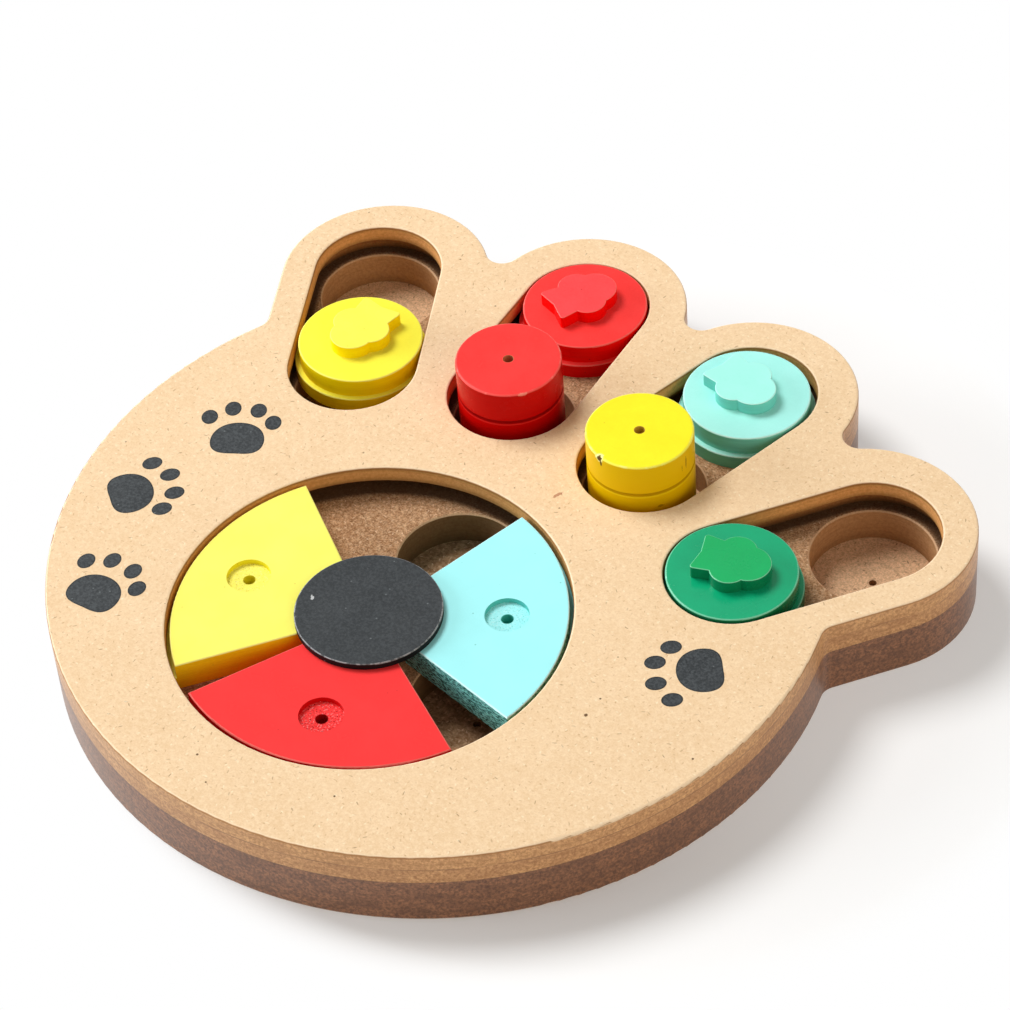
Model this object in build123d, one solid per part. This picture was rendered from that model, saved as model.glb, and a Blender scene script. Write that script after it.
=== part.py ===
# Dog puzzle toy: a paw-shaped board of three glued fibreboard layers. Four sliders run in the
# toes, two pegs lift out of them, and three covers turn round a hub in the palm. Treats go in
# the round pockets underneath. Millimetres, +Z up, origin under the middle of the board.
import os
from math import atan2, cos, degrees, radians, sin, sqrt

from build123d import *

# Board layers, bottom to top
base_thickness = 15.0
spacer_thickness = 5.0
top_thickness = 5.0
board_edge_round = 0.7

# Wheel opening in the palm, and the wood left round it
wheel_radius = 55.2
wheel_undercut = 5.4
front_rim = 23.7
slot_to_wheel_wall = 9.6

# Toe slots: half the width, the lip over the channel, the lean from +Y, and how far the
# slot's far end lies outside the middle of its toe
slot_half_width = 18.7
slot_undercut = 2.8
outer_slot_lean = 31.2
inner_slot_lean = 9.2
outer_slot_shift = 2.8
inner_slot_shift = -0.4

# Treat pockets, bored with a centre-point bit: two in each slot and a ring of them in the palm
pocket_inset = 1.2
pocket_web = 6.2
pocket_floor = 4.5
pocket_rim_chamfer = 0.4
bit_point_radius = 1.1
bit_point_depth = 2.0
wheel_pocket_margin = 6.5
wheel_pocket_count = 4

# Paw outline, measured from the wheel's centre, with +Y towards the toes
body_y = 29.4
outer_toe_wall = 9.2
inner_toe_wall = 8.4
middle_toe_gap = 1.8
outer_toe_gap = 0.76
outer_toe_heading = -22.7
notch_radius = 4.9

# Sliders: a runner under the lip, a disc through the slot and a cat's head on top
runner_gap = 1.9
runner_headroom = 0.4
disc_gap = 0.6
disc_stand = 0.5
disc_edge_round = 0.5
runner_edge_round = 0.4
figure_thickness = 4.0
figure_edge_round = 0.3
pin_radius = 0.8
pin_bite = 4.0
pin_cover = 1.4
pin_hole_gap = 0.05

# The cat's head: chin towards +X; side points are for the +Y half
brow_x = -9.3
ear_x = -10.4
ear_y = 6.7
ear_round = 0.9
ear_root_x = -4.7
ear_root_y = 6.0
cheek_x = 0.4
cheek_y = 8.9
jaw_x = 4.6
jaw_y = 6.4
chin_x = 10.7

# Each cat's head on its disc: the heading of its chin, and how far the head lies ahead of the
# disc's centre and to the left of it, seen towards the chin
head_settings = {
    "yellow": (-87.0, -1.5, -0.4),
    "red": (68.0, -0.3, 1.1),
    "turquoise": (-11.0, -1.5, 0.1),
    "green": (17.0, 0.2, 0.5),
}

# Where the sliders stand: yellow's distance from the near end of its slot and, to the right, from
# its middle line, and turquoise's distance from the far end. Red stands at its far end and green
# at its near end.
yellow_slider_advance = 10.4
yellow_slider_aside = 0.5
turquoise_slider_back = 1.8

# Lift-out pegs, standing loose in the near pockets of the two inner toes, a little in front of
# the pockets' centres
peg_gap = 2.4
red_peg_offset = -0.7
yellow_peg_offset = -1.1
peg_stand = 13.9
peg_edge_round = 0.7
peg_foot_chamfer = 0.6
peg_groove_below_top = 10.4
peg_groove_width = 1.0
peg_groove_depth = 0.4
peg_hole_radius = 1.5
peg_hole_depth = 12.0

# Covers of the wheel: the gaps between them, in degrees, share out the circle
yellow_cover_start = 150.7
yellow_red_gap = 11.1
red_turquoise_gap = 18.6
turquoise_yellow_gap = 70.5
cover_count = 3
cover_drop = 1.0
cover_rim_gap = 1.2
cover_flange_gap = 1.6
cover_flange_headroom = 0.8
cover_edge_round = 0.5
cover_hub_gap = 0.6
finger_inset = 18.0
finger_radius = 6.1
finger_depth = 1.7
finger_point_radius = 1.7
finger_point_depth = 3.0

# Hub: a post on the base, a cap glued to it, and a wood screw up from below
post_radius = 13.0
cap_overhang = 7.2
cap_thickness = 2.0
cap_edge_round = 0.4
cap_gap = 0.3
screw_radius = 2.0
screw_hole_gap = 0.05
screw_head_radius = 4.0
screw_head_height = 2.4
screw_head_sink = 0.4
screw_point_height = 2.5
screw_point_radius = 0.5
screw_end_cover = 2.0
screw_slot_width = 1.0
screw_slot_depth = 1.0

# Heights that follow from the layers
channel_floor = base_thickness
lip_bottom = base_thickness + spacer_thickness
board_top = lip_bottom + top_thickness
cover_top = board_top - cover_drop

# Widths that follow from the slots and the wheel
spacer_half_width = slot_half_width + slot_undercut
wheel_channel_radius = wheel_radius + wheel_undercut
pocket_radius = slot_half_width - pocket_inset
peg_radius = pocket_radius - peg_gap
slot_travel = 2 * pocket_radius + pocket_web
wheel_pocket_ring = wheel_channel_radius - pocket_radius - wheel_pocket_margin
finger_ring = wheel_radius - finger_inset
cap_radius = post_radius + cap_overhang

# Toes that follow from the slots: the near ends of the inner pair clear the wheel by a wall
outer_toe_radius = spacer_half_width + outer_toe_wall
inner_toe_radius = spacer_half_width + inner_toe_wall
body_radius = body_y + wheel_radius + front_rim
inner_toe_x = inner_toe_radius + middle_toe_gap / 2
inner_near_x = inner_toe_x + inner_slot_shift - slot_travel * sin(radians(inner_slot_lean))
inner_near_reach = wheel_channel_radius + slot_to_wheel_wall + spacer_half_width
inner_near_y = sqrt(inner_near_reach**2 - inner_near_x**2)
inner_toe_y = inner_near_y + slot_travel * cos(radians(inner_slot_lean))
toe_spacing = inner_toe_radius + outer_toe_gap + outer_toe_radius
outer_toe_x = inner_toe_x + toe_spacing * cos(radians(outer_toe_heading))
outer_toe_y = inner_toe_y + toe_spacing * sin(radians(outer_toe_heading))

# Covers that follow from the gaps between them
free_gaps = yellow_red_gap + red_turquoise_gap + turquoise_yellow_gap
cover_span = (360 - free_gaps) / cover_count
yellow_cover_heading = yellow_cover_start + cover_span / 2
red_cover_heading = yellow_cover_heading + cover_span + yellow_red_gap
turquoise_cover_heading = red_cover_heading + cover_span + red_turquoise_gap

# How close to a height an edge has to lie to count as lying at it
height_tolerance = 1e-4
upright = (Align.CENTER, Align.CENTER, Align.MIN)


def heading(angle):
    # Unit vector at an angle from +X
    return Vector(cos(radians(angle)), sin(radians(angle)))


def short_arc(centre, start, end):
    # The arc of less than half a turn about a centre
    radius = (start - centre).length
    middle = centre + ((start - centre) + (end - centre)).normalized() * radius
    return ThreePointArc(start, middle, end)


def notch(first, first_radius, second, second_radius):
    # Centre of the rounded notch between two toes, on their outer side
    across = second - first
    gap = across.length
    reach_first = first_radius + notch_radius
    reach_second = second_radius + notch_radius
    along = (reach_first**2 - reach_second**2 + gap**2) / (2 * gap)
    out = sqrt(reach_first**2 - along**2)
    unit = across.normalized()
    return first + unit * along + Vector(unit.Y, -unit.X) * out


def paw_outline():
    body = Vector(0, body_y)
    outer = Vector(outer_toe_x, outer_toe_y)
    inner = Vector(inner_toe_x, inner_toe_y)
    inner_mirrored = Vector(-inner_toe_x, inner_toe_y)
    lean = heading(90 - outer_slot_lean)
    side = heading(-outer_slot_lean)

    # Notch between the body and the straight flank of the outer toe
    from_body = outer + side * (outer_toe_radius + notch_radius) - body
    along = from_body.dot(lean)
    reach = body_radius + notch_radius
    back = along - sqrt(along**2 - from_body.length**2 + reach**2)
    body_notch = body + from_body - lean * back
    body_end = body + (body_notch - body).normalized() * body_radius
    flank_start = body_notch - side * notch_radius
    flank_end = outer + side * outer_toe_radius

    # Notches between the toes
    outer_notch = notch(outer, outer_toe_radius, inner, inner_toe_radius)
    outer_end = outer + (outer_notch - outer).normalized() * outer_toe_radius
    inner_start = inner + (outer_notch - inner).normalized() * inner_toe_radius
    middle_notch = notch(inner, inner_toe_radius, inner_mirrored, inner_toe_radius)
    inner_end = inner + (middle_notch - inner).normalized() * inner_toe_radius
    middle_end = middle_notch - Vector(0, notch_radius)

    half = [
        short_arc(body, body - Vector(0, body_radius), body_end),
        short_arc(body_notch, body_end, flank_start),
        Line(flank_start, flank_end),
        short_arc(outer, flank_end, outer_end),
        short_arc(outer_notch, outer_end, inner_start),
        short_arc(inner, inner_start, inner_end),
        short_arc(middle_notch, inner_end, middle_end),
    ]
    return make_face(half + [mirror(edge, about=Plane.YZ) for edge in half])


def slot_ends(side, toe_x, toe_y, shift, lean):
    # Far and near centres of one toe's slot; side is -1 on the left and 1 on the right
    far = Vector(side * (toe_x + shift), toe_y)
    along = Vector(side * sin(radians(lean)), cos(radians(lean)))
    return far, far - along * slot_travel


slots = {
    "yellow": slot_ends(-1, outer_toe_x, outer_toe_y, outer_slot_shift, outer_slot_lean),
    "red": slot_ends(-1, inner_toe_x, inner_toe_y, inner_slot_shift, inner_slot_lean),
    "turquoise": slot_ends(1, inner_toe_x, inner_toe_y, inner_slot_shift, inner_slot_lean),
    "green": slot_ends(1, outer_toe_x, outer_toe_y, outer_slot_shift, outer_slot_lean),
}


def stadium(ends, half_width):
    far, near = ends
    along = far - near
    turn = degrees(atan2(along.Y, along.X))
    slot = SlotCenterToCenter(along.length, 2 * half_width)
    return Pos((far + near) * 0.5) * Rot(0, 0, turn) * slot


def layer(face, bottom, thickness):
    return Pos(0, 0, bottom) * extrude(face, thickness)


def rod(radius, bottom, height, place=Vector(0, 0)):
    return Pos(place.X, place.Y, bottom) * Cylinder(radius, height, align=upright)


def cone(bottom_radius, top_radius, bottom, height, place=Vector(0, 0)):
    return Pos(place.X, place.Y, bottom) * Cone(bottom_radius, top_radius, height, align=upright)


def edges_at(solid, height):
    # Edges that lie flat at one height
    def lies_flat(edge):
        box = edge.bounding_box()
        return max(abs(box.min.Z - height), abs(box.max.Z - height)) < height_tolerance

    return solid.edges().filter_by(lies_flat)


def pocket_places():
    in_toes = [centre for ends in slots.values() for centre in ends]
    step = 360 / wheel_pocket_count
    in_palm = [heading(90 + step * index) * wheel_pocket_ring for index in range(wheel_pocket_count)]
    return in_toes + in_palm


def base_board(paw):
    board = layer(paw, 0, base_thickness)
    board = fillet(edges_at(board, 0), board_edge_round)
    depth = base_thickness - pocket_floor
    rim_bottom = base_thickness - pocket_rim_chamfer
    rim_radius = pocket_radius + pocket_rim_chamfer
    for place in pocket_places():
        board -= rod(pocket_radius, pocket_floor, depth, place)
        board -= cone(pocket_radius, rim_radius, rim_bottom, pocket_rim_chamfer, place)
        board -= rod(bit_point_radius, pocket_floor - bit_point_depth, bit_point_depth, place)
    shank_hole = screw_radius + screw_hole_gap
    head_hole = screw_head_radius + screw_hole_gap
    board -= rod(shank_hole, 0, base_thickness)
    board -= rod(head_hole, 0, screw_head_sink)
    board -= cone(head_hole, shank_hole, screw_head_sink, screw_head_height)
    return board


def spacer_board(paw):
    face = paw - Circle(wheel_channel_radius)
    for ends in slots.values():
        face -= stadium(ends, spacer_half_width)
    return layer(face, channel_floor, spacer_thickness)


def top_board(paw):
    face = paw - Circle(wheel_radius)
    for ends in slots.values():
        face -= stadium(ends, slot_half_width)
    board = layer(face, lip_bottom, top_thickness)
    return fillet(edges_at(board, board_top), board_edge_round)


def slider_place(colour, rest, aside):
    far, near = slots[colour]
    ahead = (far - near).normalized()
    return near + ahead * rest + Vector(ahead.Y, -ahead.X) * aside


def cat_head():
    brow = Vector(brow_x, 0)
    chin = Vector(chin_x, 0)
    ear = Vector(ear_x, ear_y)
    ear_root = Vector(ear_root_x, ear_root_y)
    jaw = Vector(jaw_x, jaw_y)
    half = [
        Line(brow, ear),
        Line(ear, ear_root),
        ThreePointArc(ear_root, (cheek_x, cheek_y), jaw),
    ]
    chin_arc = ThreePointArc(jaw, chin, (jaw_x, -jaw_y))
    face = make_face(half + [mirror(edge, about=Plane.XZ) for edge in half] + [chin_arc])
    ears = face.vertices().filter_by(lambda corner: corner.X < (ear_x + brow_x) / 2)
    return fillet(ears, ear_round)


def slider(colour, rest, aside=0):
    place = slider_place(colour, rest, aside)
    chin_heading, ahead, left = head_settings[colour]
    runner_thickness = spacer_thickness - runner_headroom
    disc_bottom = channel_floor + runner_thickness
    disc_top = board_top + disc_stand
    figure_top = disc_top + figure_thickness
    pin_top = figure_top - pin_cover
    pin_bottom = disc_top - pin_bite

    runner = rod(spacer_half_width - runner_gap, channel_floor, runner_thickness)
    runner = fillet(edges_at(runner, disc_bottom), runner_edge_round)
    disc = rod(slot_half_width - disc_gap, disc_bottom, disc_top - disc_bottom)
    disc = fillet(edges_at(disc, disc_top), disc_edge_round)
    figure = layer(cat_head(), disc_top, figure_thickness)
    figure = fillet(edges_at(figure, figure_top), figure_edge_round)
    figure = Rot(0, 0, chin_heading) * Pos(ahead, left, 0) * figure
    hole = rod(pin_radius + pin_hole_gap, pin_bottom, pin_top - pin_bottom)
    move = Pos(place.X, place.Y, 0)
    return {
        f"{colour}_slider_runner": move * runner,
        f"{colour}_slider_disc": move * (disc - hole),
        f"{colour}_slider_figure": move * (figure - hole),
        f"{colour}_slider_pin": move * rod(pin_radius, pin_bottom, pin_top - pin_bottom),
    }


def peg(slot_colour, offset):
    top = board_top + peg_stand
    body = rod(peg_radius, pocket_floor, top - pocket_floor)
    body = fillet(edges_at(body, top), peg_edge_round)
    body = chamfer(edges_at(body, pocket_floor), peg_foot_chamfer)
    groove_height = top - peg_groove_below_top
    groove = Polyline(
        (peg_radius - peg_groove_depth, groove_height),
        (peg_radius + peg_groove_depth, groove_height + peg_groove_width),
        (peg_radius + peg_groove_depth, groove_height - peg_groove_width),
        close=True,
    )
    body -= revolve(Plane.XZ * make_face(groove), Axis.Z)
    body -= rod(peg_hole_radius, top - peg_hole_depth, peg_hole_depth)
    near = slots[slot_colour][1]
    return Pos(near.X, near.Y + offset, 0) * body


def ring_sector(inner, outer):
    # A piece of a ring, centred on +X
    low = heading(-cover_span / 2)
    high = heading(cover_span / 2)
    middle = heading(0)
    return make_face([
        Line(low * inner, low * outer),
        ThreePointArc(low * outer, middle * outer, high * outer),
        Line(high * outer, high * inner),
        ThreePointArc(high * inner, middle * inner, low * inner),
    ])


def cover(direction):
    inner = post_radius + cover_hub_gap
    flange = ring_sector(inner, wheel_channel_radius - cover_flange_gap)
    plate = ring_sector(inner, wheel_radius - cover_rim_gap)
    body = layer(plate, channel_floor, cover_top - channel_floor)
    body = fillet(edges_at(body, cover_top), cover_edge_round)
    body += layer(flange, channel_floor, spacer_thickness - cover_flange_headroom)
    finger = heading(0) * finger_ring
    recess_floor = cover_top - finger_depth
    body -= rod(finger_radius, recess_floor, finger_depth, finger)
    body -= rod(finger_point_radius, recess_floor - finger_point_depth, finger_point_depth, finger)
    return Rot(0, 0, direction) * body


def hub():
    cap_bottom = cover_top + cap_gap
    screw_end = cap_bottom - screw_end_cover
    post = rod(post_radius, channel_floor, cap_bottom - channel_floor)
    post -= rod(screw_radius + screw_hole_gap, channel_floor, screw_end - channel_floor)
    cap = rod(cap_radius, cap_bottom, cap_thickness)
    cap = fillet(edges_at(cap, cap_bottom + cap_thickness), cap_edge_round)
    shank_bottom = screw_head_sink + screw_head_height
    point_bottom = screw_end - screw_point_height
    screw = cone(screw_head_radius, screw_radius, screw_head_sink, screw_head_height)
    screw += rod(screw_radius, shank_bottom, point_bottom - shank_bottom)
    screw += cone(screw_radius, screw_point_radius, point_bottom, screw_point_height)
    driver_slot = Box(2 * screw_head_radius, screw_slot_width, screw_slot_depth, align=upright)
    screw -= Pos(0, 0, screw_head_sink) * driver_slot
    return {"hub_post": post, "hub_cap": cap, "hub_screw": screw}


paw_face = paw_outline()
pieces = {
    "base_board": base_board(paw_face),
    "spacer_board": spacer_board(paw_face),
    "top_board": top_board(paw_face),
}
pieces.update(slider("yellow", yellow_slider_advance, yellow_slider_aside))
pieces.update(slider("red", slot_travel))
pieces.update(slider("turquoise", slot_travel - turquoise_slider_back))
pieces.update(slider("green", 0))
pieces["red_peg"] = peg("red", red_peg_offset)
pieces["yellow_peg"] = peg("turquoise", yellow_peg_offset)
pieces["yellow_cover"] = cover(yellow_cover_heading)
pieces["red_cover"] = cover(red_cover_heading)
pieces["turquoise_cover"] = cover(turquoise_cover_heading)
pieces.update(hub())

# The origin is under the middle of the paw, so the wheel's centre lies in front of it
front = body_y - body_radius
back = inner_toe_y + inner_toe_radius
to_origin = Pos(0, -(front + back) / 2, 0)
os.makedirs("parts", exist_ok=True)
for name, piece in pieces.items():
    export_step(to_origin * piece, f"parts/{name}.step")
width = 2 * (outer_toe_x + outer_toe_radius)
print("board", round(width, 1), "by", round(back - front, 1), "by", board_top)
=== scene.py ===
import math

import bmesh
import bpy
from mathutils import Matrix, Vector


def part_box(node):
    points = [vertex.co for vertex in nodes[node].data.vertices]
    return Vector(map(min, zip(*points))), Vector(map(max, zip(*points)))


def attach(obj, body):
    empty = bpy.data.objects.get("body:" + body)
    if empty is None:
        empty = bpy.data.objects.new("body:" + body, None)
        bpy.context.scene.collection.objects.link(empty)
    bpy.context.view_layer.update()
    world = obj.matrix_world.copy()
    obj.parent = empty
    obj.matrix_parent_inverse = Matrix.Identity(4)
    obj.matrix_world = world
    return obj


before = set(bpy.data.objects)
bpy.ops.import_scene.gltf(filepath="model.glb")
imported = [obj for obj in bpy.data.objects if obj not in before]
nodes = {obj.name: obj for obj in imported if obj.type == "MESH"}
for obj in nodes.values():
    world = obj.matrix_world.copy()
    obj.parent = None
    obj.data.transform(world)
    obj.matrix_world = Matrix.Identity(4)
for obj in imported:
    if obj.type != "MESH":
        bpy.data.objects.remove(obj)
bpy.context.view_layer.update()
mm = 0.001


# node helpers

def put(tree, kind, inputs=None, **settings):
    node = tree.nodes.new(kind)
    for name, value in settings.items():
        setattr(node, name, value)
    for name, value in (inputs or {}).items():
        feed(tree, value, node.inputs[name])
    return node


def feed(tree, value, socket):
    if isinstance(value, bpy.types.NodeSocket):
        tree.links.new(value, socket)
    else:
        socket.default_value = value


def calc(tree, operation, first, second=0.5, third=0.5, clamp=False):
    node = put(tree, "ShaderNodeMath", operation=operation, use_clamp=clamp)
    for socket, value in zip(node.inputs, (first, second, third)):
        feed(tree, value, socket)
    return node.outputs[0]


def times(tree, *values):
    product = values[0]
    for value in values[1:]:
        product = calc(tree, "MULTIPLY", product, value)
    return product


def vectors(tree, operation, first, second=(0, 0, 0)):
    return put(tree, "ShaderNodeVectorMath", {0: first, 1: second}, operation=operation).outputs[0]


def scaled(tree, vector, factor):
    return put(tree, "ShaderNodeVectorMath", {0: vector, "Scale": factor}, operation="SCALE").outputs[0]


def turned(tree, vector, angle):
    inputs = {"Vector": vector, "Angle": angle}
    return put(tree, "ShaderNodeVectorRotate", inputs, rotation_type="Z_AXIS").outputs[0]


def length(tree, vector):
    return put(tree, "ShaderNodeVectorMath", {0: vector}, operation="LENGTH").outputs["Value"]


def ramp(tree, value, low, high, start=0.0, end=1.0):
    inputs = {"Value": value, "From Min": low, "From Max": high, "To Min": start, "To Max": end}
    node = put(tree, "ShaderNodeMapRange", inputs, interpolation_type="SMOOTHSTEP")
    return node.outputs["Result"]


def between(tree, value, rise, fall):
    return times(tree, ramp(tree, value, *rise), ramp(tree, value, *fall))


def mixColour(tree, share, first, second):
    node = put(tree, "ShaderNodeMix", data_type="RGBA")
    feed(tree, share, node.inputs[0])
    feed(tree, first, node.inputs[6])
    feed(tree, second, node.inputs[7])
    return node.outputs[2]


def noise(tree, place, scale, detail=2.0, rough=0.55, stretch=None):
    if stretch is not None:
        place = put(tree, "ShaderNodeMapping", {"Vector": place, "Scale": stretch}).outputs[0]
    inputs = {"Vector": place, "Scale": scale, "Detail": detail, "Roughness": rough}
    return put(tree, "ShaderNodeTexNoise", inputs).outputs[0]


def scatter(tree, place, scale):
    # distance from the nearest of many points, and that point's three random values
    cells = put(tree, "ShaderNodeTexVoronoi", {"Vector": place, "Scale": scale}).outputs
    return cells["Distance"], put(tree, "ShaderNodeSeparateColor", {0: cells["Color"]}).outputs


def ownPlace(tree):
    return put(tree, "ShaderNodeTexCoord").outputs["Object"]


def parts(tree, vector):
    return put(tree, "ShaderNodeSeparateXYZ", {0: vector}).outputs


def normalRise(tree):
    return parts(tree, put(tree, "ShaderNodeNewGeometry").outputs["Normal"])[2]


def reachFrom(tree, centre):
    # distance from an upright line through a point
    away = vectors(tree, "SUBTRACT", ownPlace(tree), (*centre, 0))
    return length(tree, vectors(tree, "MULTIPLY", away, (1, 1, 0)))


def seenRays(tree):
    # rays that show a thing to the camera, straight or by way of gloss and glass
    rays = put(tree, "ShaderNodeLightPath").outputs
    seen = calc(tree, "MAXIMUM", rays["Is Camera Ray"], rays["Is Glossy Ray"])
    return calc(tree, "MAXIMUM", seen, rays["Is Transmission Ray"])


def inMm(*values):
    return tuple(value * mm for value in values)


def colour(red, green, blue):
    # screen values 0 to 255 to the linear values that sockets take
    def linear(value):
        value /= 255
        return value / 12.92 if value <= 0.04045 else ((value + 0.055) / 1.055) ** 2.4
    return (linear(red), linear(green), linear(blue), 1.0)


def newGroup(name, inputs, outputs):
    tree = bpy.data.node_groups.new(name, "ShaderNodeTree")
    for label, kind, value in inputs:
        socket = tree.interface.new_socket(label, in_out="INPUT", socket_type=kind)
        socket.default_value = value
    for label in outputs:
        tree.interface.new_socket(label, in_out="OUTPUT", socket_type=floatKind)
    given = tree.nodes.new("NodeGroupInput").outputs
    result = tree.nodes.new("NodeGroupOutput").inputs
    return tree, given, result


def useGroup(tree, group, inputs=None):
    node = tree.nodes.new("ShaderNodeGroup")
    node.node_tree = group
    for name, value in (inputs or {}).items():
        feed(tree, value, node.inputs[name])
    return node.outputs


floatKind, vectorKind = "NodeSocketFloat", "NodeSocketVector"


# shader groups shared by the materials

fleckShape = {"bendScale": 900.0, "bendDetail": 2.0, "bend": 0.5 * mm, "core": 0.25, "weakest": 0.25}


def makeFibreFleck():
    # one layer of short curved fibres lying every way on a flat face
    tree, given, result = newGroup(
        "fibreFleck",
        [("Seed", vectorKind, (0, 0, 0)), ("Cells", floatKind, 220.0), ("Length", floatKind, 0.3),
         ("Width", floatKind, 0.035), ("Share", floatKind, 0.5)],
        ["Mask"])
    place = vectors(tree, "ADD", ownPlace(tree), given["Seed"])
    waves = {"Vector": place, "Scale": fleckShape["bendScale"], "Detail": fleckShape["bendDetail"]}
    bend = put(tree, "ShaderNodeTexNoise", waves).outputs["Color"]
    bend = vectors(tree, "SUBTRACT", bend, (0.5, 0.5, 0.5))
    bend = vectors(tree, "MULTIPLY", bend, (fleckShape["bend"], fleckShape["bend"], 0))
    place = scaled(tree, vectors(tree, "ADD", place, bend), given["Cells"])
    cells = put(tree, "ShaderNodeTexVoronoi", {"Vector": place, "Scale": 1.0}, voronoi_dimensions="2D")
    pick = put(tree, "ShaderNodeSeparateColor", {0: cells.outputs["Color"]}).outputs
    away = vectors(tree, "SUBTRACT", place, cells.outputs["Position"])
    away = turned(tree, away, times(tree, pick[0], math.pi))
    along = calc(tree, "DIVIDE", parts(tree, away)[0], given["Length"])
    across = calc(tree, "DIVIDE", parts(tree, away)[1], given["Width"])
    reach = calc(tree, "ADD", times(tree, along, along), times(tree, across, across))
    chosen = calc(tree, "LESS_THAN", pick[1], given["Share"])
    strength = calc(tree, "MULTIPLY_ADD", pick[2], 1 - fleckShape["weakest"], fleckShape["weakest"])
    feed(tree, times(tree, ramp(tree, reach, 1.0, fleckShape["core"]), chosen, strength), result["Mask"])
    return tree


grainNoise = {  # scale, detail and roughness
    "Fine": (2100.0, 2.5, 0.6), "Blotch": (820.0, 3.0, 0.6), "Cloud": (50.0, 4.0, 0.6),
}
dotShape = {"scale": 190.0, "least": 0.03, "spread": 0.05, "core": 0.4}


def makeBoardGrain():
    # pressed board: fine grain, soft blotches, a slow cloud and a few dark dots
    tree, given, result = newGroup(
        "boardGrain", [("Seed", vectorKind, (0, 0, 0)), ("Dot Share", floatKind, 0.2)], [*grainNoise, "Dots"])
    place = vectors(tree, "ADD", ownPlace(tree), given["Seed"])
    reach, pick = scatter(tree, place, dotShape["scale"])
    chosen = calc(tree, "LESS_THAN", pick[0], given["Dot Share"])
    size = calc(tree, "MULTIPLY_ADD", pick[1], dotShape["spread"], dotShape["least"])
    reach = calc(tree, "DIVIDE", reach, size)
    feed(tree, times(tree, ramp(tree, reach, 1.0, dotShape["core"]), chosen), result["Dots"])
    for label, settings in grainNoise.items():
        feed(tree, noise(tree, place, *settings), result[label])
    return tree


cutNoise = {  # scale, detail, roughness and the stretch along the layers
    "Streaks": (1.0, 3.0, 0.65, (60, 60, 1500)), "Dashes": (1.0, 2.0, 0.6, (800, 800, 3000)),
    "Speckle": (1150.0, 4.0, 0.68), "Tone": (1.0, 4.0, 0.6, (110, 110, 420)),
}
uprightBand = (0.62, 0.2)  # rise of the normal where a face stops being flat, and where it is upright


def makeCutSide():
    # upright faces, cut through the board: speckles, a slow tone and streaks along its layers
    tree, given, result = newGroup("cutSide", [("Seed", vectorKind, (0, 0, 0))], ["Side", "Rise", *cutNoise])
    rise = normalRise(tree)
    place = vectors(tree, "ADD", ownPlace(tree), given["Seed"])
    feed(tree, ramp(tree, calc(tree, "ABSOLUTE", rise), *uprightBand), result["Side"])
    feed(tree, rise, result["Rise"])
    for label, settings in cutNoise.items():
        feed(tree, noise(tree, place, *settings), result[label])
    return tree


openingPlan = {  # in mm; the slots' middle lines are the right-hand ones, which the left side mirrors
    "slots": (((68.864, 30.192), (90.207, 65.433)), ((23.813, 48.442), (30.4, 89.112))),
    "slotHalf": 18.7, "wheel": (0.0, -40.112), "wheelRadius": 55.2,
    "palmPockets": ((0.0, -3.512), (36.6, -40.112), (0.0, -76.712)), "pocketRadius": 17.5,
}
ringShape = {"across": 1100.0, "along": 45, "detail": 2.0, "rough": 0.6, "soft": 0.2 * mm, "flat": (0.5, 0.9)}


def mirrored(tree):
    place = vectors(tree, "MULTIPLY", vectors(tree, "ABSOLUTE", ownPlace(tree)), (1, 0, 0))
    return vectors(tree, "ADD", place, vectors(tree, "MULTIPLY", ownPlace(tree), (0, 1, 0)))


def makePocketFloor():
    # the floor of the bored pockets, with the rings that the bit leaves
    tree, given, result = newGroup("pocketFloor", [("Depth", floatKind, 0.008)], ["Floor", "Rings"])
    place = mirrored(tree)
    nearest = None
    for centre in sum(openingPlan["slots"], ()) + openingPlan["palmPockets"]:
        reach = length(tree, vectors(tree, "SUBTRACT", place, (*inMm(*centre), 0)))
        nearest = calc(tree, "MINIMUM", nearest, reach) if nearest else reach
    radius = openingPlan["pocketRadius"] * mm
    low = calc(tree, "LESS_THAN", parts(tree, ownPlace(tree))[2], given["Depth"])
    inside = ramp(tree, nearest, radius + ringShape["soft"], radius)
    feed(tree, times(tree, inside, low, ramp(tree, normalRise(tree), *ringShape["flat"])), result["Floor"])
    across = put(tree, "ShaderNodeCombineXYZ", {0: times(tree, nearest, ringShape["across"])}).outputs[0]
    around = vectors(tree, "MULTIPLY", ownPlace(tree), (0, ringShape["along"], ringShape["along"]))
    rings = noise(tree, vectors(tree, "ADD", across, around), 1.0, ringShape["detail"], ringShape["rough"])
    feed(tree, rings, result["Rings"])
    return tree


def makeOpeningReach():
    # distance from the nearest slot or the wheel opening, below zero within them
    tree, given, result = newGroup("openingReach", [], ["Distance"])
    place = mirrored(tree)
    away = vectors(tree, "SUBTRACT", place, (*inMm(*openingPlan["wheel"]), 0))
    nearest = calc(tree, "SUBTRACT", length(tree, away), openingPlan["wheelRadius"] * mm)
    for near, far in openingPlan["slots"]:
        start, end = Vector((*near, 0)) * mm, Vector((*far, 0)) * mm
        run = end - start
        away = vectors(tree, "SUBTRACT", place, start)
        along = put(tree, "ShaderNodeVectorMath", {0: away, 1: run / run.length_squared},
                    operation="DOT_PRODUCT").outputs["Value"]
        along = calc(tree, "MULTIPLY", along, 1.0, clamp=True)
        reach = length(tree, vectors(tree, "SUBTRACT", away, scaled(tree, run, along)))
        nearest = calc(tree, "MINIMUM", nearest, calc(tree, "SUBTRACT", reach, openingPlan["slotHalf"] * mm))
    feed(tree, nearest, result["Distance"])
    return tree


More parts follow.
